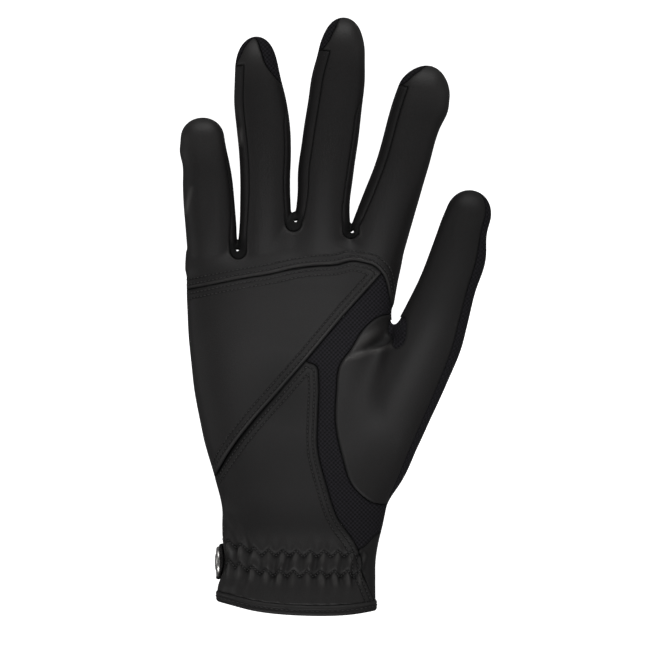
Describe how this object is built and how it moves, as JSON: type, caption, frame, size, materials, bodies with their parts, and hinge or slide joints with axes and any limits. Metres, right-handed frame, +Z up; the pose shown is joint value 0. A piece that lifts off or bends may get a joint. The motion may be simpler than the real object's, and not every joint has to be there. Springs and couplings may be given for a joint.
{
  "type": "riding glove",
  "caption": "Right-hand riding glove lying on its back, palm up: leather fingers and palm, woven mesh insert and back, gathered elastic cuff, and a closing strap with a round snap.",
  "frame": {"origin": "on the flat of the glove's back, below the middle of the palm, where the glove rests", "axes": "+Y from the wrist to the fingertips, +X to the thumb, +Z up out of the palm"},
  "size_m": [0.124, 0.2393, 0.034],
  "materials": {
    "leather": "matte black, finely grained",
    "mesh_fabric": "black, openly woven",
    "snap_metal": "polished"
  },
  "bodies": {
    "root": {"finger_front": "leather", "palm_panel": "leather", "heel_panel": "leather", "palm_mesh_insert": "mesh_fabric", "thumb_front": "leather", "thumb_back": "mesh_fabric", "thumb_gusset": "mesh_fabric", "strip_little_ring": "leather", "strip_ring_middle": "leather", "strip_middle_index": "leather", "back_panel": "mesh_fabric", "cuff_back": "leather", "hem_binding": "leather", "closing_tab": "leather", "snap_cap": "snap_metal"}
  },
  "joints": []
}
